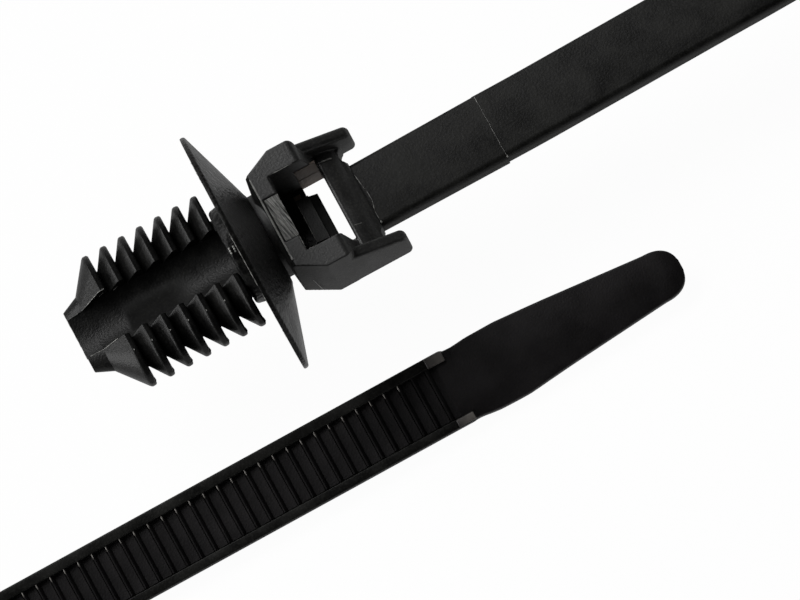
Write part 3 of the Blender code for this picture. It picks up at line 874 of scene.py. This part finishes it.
def makeFlashAndHighlights():
    lines = slivers("flashAndHighlightLines", combLines() + headLines() + strapLines() + rimLines(), flash["line"])
    # painted highlight: a pale line along the head's rounded top-left edge, where the edge catches the light
    left = headX + head["leftEdge"] + 0.005
    bright = [(left, y, head["top"] - 0.01, 1 + 0.25 * noise.noise(Vector((y * 2, 3, 3))))
              for y in np.linspace(-3.1, 3.35, 40)]
    return lines, makeSpecks(), slivers("headEdgeHighlight", [bright], flash["headHighlight"])


# materials

def linear(code):  # sRGB hex to the shader's linear colour
    parts = [int(code[i:i + 2], 16) / 255 for i in (1, 3, 5)]
    return [p / 12.92 if p <= 0.04045 else ((p + 0.055) / 1.055) ** 2.4 for p in parts] + [1.0]


def addNode(tree, kind, settings=None):  # a setting is a property, or an input's value or what feeds it
    node = tree.nodes.new(kind)
    for key, value in (settings or {}).items():
        if isinstance(key, str) and key not in node.inputs:
            setattr(node, key, value)
        elif isinstance(value, bpy.types.NodeSocket):
            tree.links.new(value, node.inputs[key])
        else:
            node.inputs[key].default_value = value
    return node


def calculate(tree, operation, *terms, clamp=False):
    settings = {"operation": operation, "use_clamp": clamp, **dict(enumerate(terms))}
    return addNode(tree, "ShaderNodeMath", settings).outputs[0]


def mapRange(tree, value, low, high, toLow=0.0, toHigh=1.0, kind="LINEAR"):
    settings = {"interpolation_type": kind, "Value": value, "From Min": low, "From Max": high,
                "To Min": toLow, "To Max": toHigh}
    return addNode(tree, "ShaderNodeMapRange", settings).outputs["Result"]


def grainNoise(tree, place, size, detail, roughness=0.5):  # size in millimetres
    return addNode(tree, "ShaderNodeTexNoise", {"Vector": place, "Scale": 1 / (size * mm), "Detail": detail,
                                                "Roughness": roughness}).outputs


def blend(tree, share, first, second):
    return addNode(tree, "ShaderNodeMix", {"data_type": "RGBA", "Factor": share, "A": linear(first),
                                           "B": linear(second)}).outputs["Result"]


def twoTone(tree, value, low, darker, high, paler):
    ramp = addNode(tree, "ShaderNodeValToRGB", {"Fac": value})
    for element, position, colour in zip(ramp.color_ramp.elements, (low, high), (darker, paler)):
        element.position = position
        element.color = linear(colour)
    return ramp.outputs["Color"]


def nylonBase(name, specular, roughness=0.5):
    material = bpy.data.materials.new(name)
    material.use_nodes = True
    tree = material.node_tree
    shader = tree.nodes["Principled BSDF"]
    shader.inputs["IOR"].default_value = 1.5
    shader.inputs["Specular IOR Level"].default_value = specular
    shader.inputs["Roughness"].default_value = roughness
    place = addNode(tree, "ShaderNodeTexCoord").outputs["Object"]
    return material, tree, shader.inputs, place


def blackNylon(name, colour, paler, roughness, specular, grain, grainDepth, cloud, cloudSize, dulling=0.3,
               speckle=0.05, worn=None):
    # PA66 filled with carbon black, injection moulded: a near-black body with a soft sheen,
    # spark-eroded grain from the mould and faint paler clouds where the melt cooled
    material, tree, shader, place = nylonBase(name, specular)
    fine = grainNoise(tree, place, grain, 3.0)["Fac"]
    clouds = grainNoise(tree, place, cloudSize, 4.0, 0.6)
    paleness = calculate(tree, "ADD", mapRange(tree, clouds["Fac"], 0.38, 0.68, 0.0, cloud),
                         mapRange(tree, fine, 0.5, 0.75, 0.0, speckle))
    gloss = mapRange(tree, clouds["Fac"], 0.3, 0.7, roughness - 0.06, roughness + 0.06)
    facing = addNode(tree, "ShaderNodeLayerWeight", {"Blend": 0.3}).outputs["Facing"]
    duller = calculate(tree, "MULTIPLY_ADD", facing, dulling, gloss, clamp=True)
    strength = 0.8
    if worn:  # a patch rubbed smooth: no grain, and its gloss spread wide
        wander = addNode(tree, "ShaderNodeVectorMath", {"operation": "MULTIPLY_ADD", 0: clouds["Color"],
                                                        1: (0.6 * mm, 0.5 * mm, 0), 2: place})
        parts = addNode(tree, "ShaderNodeSeparateXYZ", {"Vector": wander.outputs["Vector"]}).outputs
        mask = 1.0
        for axis, outside, inside in worn:
            limit = mapRange(tree, parts[axis], outside * mm, inside * mm, kind="SMOOTHSTEP")
            mask = calculate(tree, "MULTIPLY", limit, mask)
        duller = calculate(tree, "MULTIPLY_ADD", mask, 0.6, duller, clamp=True)
        strength = mapRange(tree, mask, 0.0, 1.0, 0.8, 0.25)
    bump = addNode(tree, "ShaderNodeBump", {"Strength": strength, "Distance": grainDepth * mm, "Height": fine})
    tree.links.new(blend(tree, paleness, colour, paler), shader["Base Color"])
    tree.links.new(duller, shader["Roughness"])
    tree.links.new(bump.outputs["Normal"], shader["Normal"])
    return material


def tornNylon(name):
    # the same nylon torn at the gate: stress-whitened fibres drawn out along the break
    material, tree, shader, place = nylonBase(name, 0.4)
    skewed = addNode(tree, "ShaderNodeMapping", {
        "vector_type": "TEXTURE", "Vector": place, "Rotation": (0, 0, 0.2),
        "Scale": (1 / 9000, 1 / 600, 1 / 1000)}).outputs["Vector"]
    fibres = addNode(tree, "ShaderNodeTexNoise", {"Vector": skewed, "Scale": 1.0, "Detail": 4.0,
                                                  "Roughness": 0.7}).outputs["Fac"]
    bump = addNode(tree, "ShaderNodeBump", {"Strength": 0.8, "Distance": 0.04 * mm, "Height": fibres})
    tree.links.new(twoTone(tree, fibres, 0.4, "#242423", 0.66, "#acaca8"), shader["Base Color"])
    tree.links.new(bump.outputs["Normal"], shader["Normal"])
    return material


def paintedRailEndHighlight(name, colour):
    # painted highlight: the rail ends painted paler towards the tip, where their end faces slope down and catch
    # the light
    material, tree, shader, place = nylonBase(name, 0.3)
    along = addNode(tree, "ShaderNodeSeparateXYZ", {"Vector": place}).outputs["X"]
    sway = calculate(tree, "MULTIPLY_ADD", grainNoise(tree, place, 0.35, 3.0)["Fac"], 0.5 * mm, along)
    fade = mapRange(tree, sway, pads["fadeFrom"] * mm, pads["fadeTo"] * mm)
    tree.links.new(blend(tree, fade, "#141213", colour), shader["Base Color"])
    return material


def flashAndHighlight(name, darker, colour):
    # thin feather edges of nylon, whitened where the mould pinched them; the pale colour is partly painted
    # highlight, where edges catch the light
    material, tree, shader, place = nylonBase(name, 0.5, 0.4)
    mottle = grainNoise(tree, place, 0.3, 2.0)["Fac"]
    tree.links.new(twoTone(tree, mottle, 0.35, darker, 0.6, colour), shader["Base Color"])
    return material


# stage, camera and light

stage = {"radius": 4.0, "wall": 0.6, "glow": 0.97, "bounce": 0.5, "colour": "#f4f4f4"}


def paleTable():
    # matt white board, which shows white to the camera and in reflections and keeps some shadow
    material = bpy.data.materials.new("paleTable")
    material.use_nodes = True
    tree = material.node_tree
    shader = tree.nodes["Principled BSDF"]
    shader.inputs["Base Color"].default_value = linear(stage["colour"])
    shader.inputs["Roughness"].default_value = 0.9
    shader.inputs["Specular IOR Level"].default_value = 0.1
    rays = addNode(tree, "ShaderNodeLightPath").outputs
    share = stage["bounce"]
    for ray in ("Is Camera Ray", "Is Glossy Ray", "Is Transmission Ray"):
        share = calculate(tree, "MAXIMUM", rays[ray], share)
    glow = addNode(tree, "ShaderNodeEmission", {"Color": linear("#ffffff"), "Strength": 1.0})
    mixed = addNode(tree, "ShaderNodeMixShader", {0: calculate(tree, "MULTIPLY", share, stage["glow"]),
                                                  1: shader.outputs[0], 2: glow.outputs[0]})
    tree.links.new(mixed.outputs[0], tree.nodes["Material Output"].inputs["Surface"])
    return material


def makeStage():
    bm = bmesh.new()
    bmesh.ops.create_circle(bm, cap_ends=True, segments=96, radius=stage["radius"])
    wall = bmesh.ops.extrude_edge_only(bm, edges=[e for e in bm.edges if e.is_boundary])["geom"]
    bmesh.ops.translate(bm, verts=vertsOf(wall), vec=(0, 0, stage["wall"]))
    bmesh.ops.translate(bm, verts=bm.verts, vec=(0, 0, floorZ * mm))
    floor = toObject("floor", bm)
    floor.data.materials.append(paleTable())


view = {
    "picture": (800, 600), "pixelsPerMm": 15.4, "rimPixel": (244, 253), "turn": radians(28.5),
    "roll": radians(24), "lens": 600,
}


def makeCamera():  # square on to the tie's axis, with the tie rolled a little about it
    roll, turn, (width, height) = view["roll"], view["turn"], view["picture"]
    along = Vector((1, 0, 0))
    acrossDown = Vector((0, -cos(roll), -sin(roll)))
    toCamera = Vector((0, -sin(roll), cos(roll)))
    right = along * cos(turn) + acrossDown * sin(turn)
    down = acrossDown * cos(turn) - along * sin(turn)
    pixel = mm / view["pixelsPerMm"]
    middle = Vector((disc["rim"] / 2 * mm, 0, 0))
    middle += (right * (width / 2 - view["rimPixel"][0]) + down * (height / 2 - view["rimPixel"][1])) * pixel
    data = bpy.data.cameras.new("camera")
    data.lens = view["lens"]
    camera = addObject("camera", data)
    distance = width * pixel * data.lens / data.sensor_width
    turned = Matrix((right, -down, toCamera)).transposed().to_4x4()
    camera.matrix_world = Matrix.Translation(middle + toCamera * distance) @ turned
    data.clip_start = distance * 0.05
    data.clip_end = distance * 20
    bpy.context.scene.camera = camera


softboxes = {
    "keyBox": {"direction": (-0.42, 0.55, 0.75), "distance": 0.5, "size": (0.45, 0.2), "power": 2.3},
    "sideBox": {"direction": (-0.93, 0.12, 0.2), "distance": 0.5, "size": (0.3, 0.3), "power": 2.25},
}
room = {"colour": "#f2f3f5", "strength": 0.04}


def makeLight():
    for name, values in softboxes.items():
        data = bpy.data.lights.new(name, "AREA")
        data.shape = "RECTANGLE"
        data.size, data.size_y = values["size"]
        data.energy = values["power"]
        lamp = addObject(name, data)
        direction = Vector(values["direction"]).normalized()
        lamp.location = direction * values["distance"]
        lamp.rotation_mode = "QUATERNION"
        lamp.rotation_quaternion = direction.to_track_quat("Z", "Y")
        lamp.visible_camera = False
    world = bpy.data.worlds.new("room")
    world.use_nodes = True
    background = world.node_tree.nodes["Background"]
    background.inputs["Color"].default_value = linear(room["colour"])
    background.inputs["Strength"].default_value = room["strength"]
    bpy.context.scene.world = world
    bpy.context.scene.view_settings.view_transform = "Standard"


makeCamera()
makeStage()
makeLight()
print("stage, camera and light are set")

# each finish: its colour and a paler one, roughness, specular, grain and its depth, strength and size of
# the clouds, then how much it dulls towards its outline, its speckle and the limits of a worn patch
satin = blackNylon("blackNylonSatin", "#0f0f0e", "#6a6a66", 0.44, 0.56, 0.15, 0.02, 0.04, 2.4, 0.5, 0.16)
pawlFinish = blackNylon("blackNylonPawl", "#0b0b0b", "#5a5a57", 0.42, 0.4, 0.12, 0.025, 0.10, 1.2)
strapFinish = blackNylon("blackNylonStrap", "#0b0b0a", "#6a6a66", 0.42, 0.155, 0.14, 0.02, 0.07, 2.2, 0.5, 0.06)
tailFinish = blackNylon("blackNylonTail", "#0c0a0b", "#3a3638", 0.50, 0.24, 0.12, 0.020, 0.10, 3.0)
sparked = blackNylon("blackNylonSparked", "#070707", "#6a6a66", 0.36, 0.095, 0.3, 0.11, 0.03, 2.5, 0.12, 0.08)
combed = blackNylon("blackNylonComb", "#060606", "#5a5a57", 0.36, 0.175, 0.14, 0.028, 0.05, 2.0, 0.2, 0.06,
                    ((0, -8.4, -8.0), (0, -3.3, -5.2), (1, -2.0, -0.9), (1, 1.3, 0.1),
                     (2, 0.18, 0.24), (2, 0.66, 0.6)))
# painted highlight: a pale grey for the crest ends by the rail
crestHighlightFinish = blackNylon("paintedCrestHighlight", "#6a6763", "#6a6a66", 0.55, 0.4, 0.08, 0.012, 0.2, 0.8)
# painted bounce light: a warm brownish grey standing in for light from the white table below
litWallFinish = blackNylon("paintedBounceLight", "#5c4f45", "#7a6d60", 0.5, 0.3, 0.12, 0.015, 0.25, 0.8)
railEndHighlightFinish = paintedRailEndHighlight("paintedPadHighlight", "#6b6763")

for make, finish in ((makeFirTree, combed), (makeFinBeads, combed), (makeDisc, sparked), (makeHead, satin),
                     (makeGate, tornNylon("tornNylon")), (makePawl, pawlFinish)):
    finishPiece(make(), finish)
# the window's side wall and the pawl's cheeks take the painted bounce light
for piece in makeLitWallPatch():
    finishPiece(piece, litWallFinish)
for piece, finish in zip(makeStrap(), (strapFinish, strapFinish, tailFinish, tailFinish)):
    finishPiece(piece, finish)
finishPiece(makeCrestHighlights(), crestHighlightFinish)
for piece in makePads():
    finishPiece(piece, railEndHighlightFinish)
lines, specks, headEdgeHighlight = makeFlashAndHighlights()
flashAndHighlightFinish = flashAndHighlight("flashAndHighlight", "#4a4a48", "#8c8c88")
finishPiece(lines, flashAndHighlightFinish)
finishPiece(specks, flashAndHighlightFinish)
# painted highlight: the palest line along the head's top-left edge
finishPiece(headEdgeHighlight, flashAndHighlight("paintedEdgeHighlight", "#8a8a86", "#b0b0ac"))
